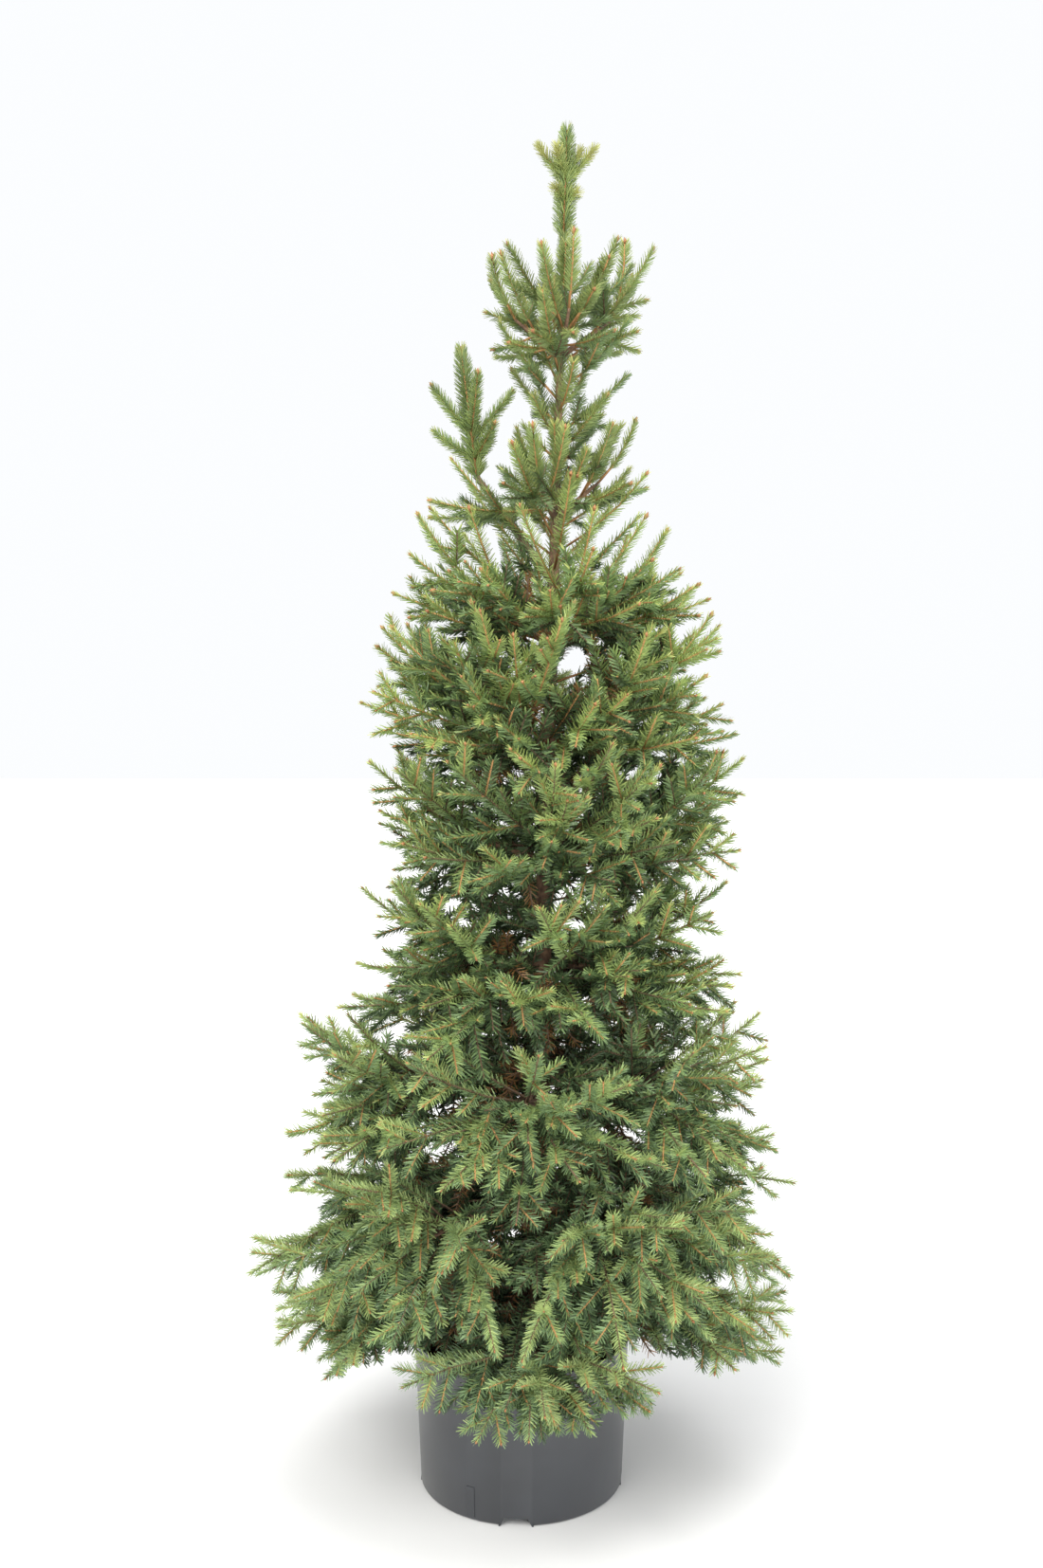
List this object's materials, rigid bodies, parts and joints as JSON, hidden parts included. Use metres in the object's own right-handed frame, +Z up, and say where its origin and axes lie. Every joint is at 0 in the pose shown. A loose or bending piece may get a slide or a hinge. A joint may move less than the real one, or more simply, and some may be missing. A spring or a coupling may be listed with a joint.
{
  "type": "potted norway spruce",
  "caption": "Tall slender conifer with dense tiers of needled branches and a second leader, in a round dark nursery pot.",
  "frame": {"origin": "middle of the pot's flat underside, on the ground", "axes": "+Z up along the plant's height; +X to the right and -Y towards the viewer, seen from the front"},
  "size_m": [0.8849, 0.8271, 2.21],
  "materials": {
    "pot_plastic": "satin",
    "compost": "matte",
    "bark": "matte",
    "needles": "matte"
  },
  "bodies": {
    "root": {"bough_broad_1": "bark", "bough_broad_2": "bark", "bough_broad_3": "bark", "bough_broad_4": "bark", "bough_broad_5": "bark", "bough_low_1": "bark", "bough_low_2": "bark", "bough_low_3": "bark", "bough_low_4": "bark", "bough_low_5": "bark", "bough_second_leader": "bark", "bough_skirt_1": "bark", "bough_skirt_2": "bark", "bough_skirt_3": "bark", "bough_skirt_4": "bark", "bough_skirt_5": "bark", "compost": "compost", "mass_broad_1": "needles", "mass_broad_2": "needles", "mass_broad_3": "needles", "mass_broad_4": "needles", "mass_broad_5": "needles", "mass_crest_1": "needles", "mass_crest_2": "needles", "mass_crest_3": "needles", "mass_crest_4": "needles", "mass_crest_low_1": "needles", "mass_crest_low_2": "needles", "mass_crest_low_3": "needles", "mass_leader": "needles", "mass_low_1": "needles", "mass_low_2": "needles", "mass_low_3": "needles", "mass_low_4": "needles", "mass_low_5": "needles", "mass_middle_1": "needles", "mass_middle_2": "needles", "mass_middle_3": "needles", "mass_middle_4": "needles", "mass_second_leader": "needles", "mass_shoulder_1": "needles", "mass_shoulder_2": "needles", "mass_shoulder_3": "needles", "mass_shoulder_4": "needles", "mass_skirt_1": "needles", "mass_skirt_2": "needles", "mass_skirt_3": "needles", "mass_skirt_4": "needles", "mass_skirt_5": "needles", "mass_upper_1": "needles", "mass_upper_2": "needles", "mass_upper_3": "needles", "mass_upper_4": "needles", "mass_waist_1": "needles", "mass_waist_2": "needles", "mass_waist_3": "needles", "mass_waist_4": "needles", "pot": "pot_plastic", "trunk": "bark"}
  },
  "joints": []
}
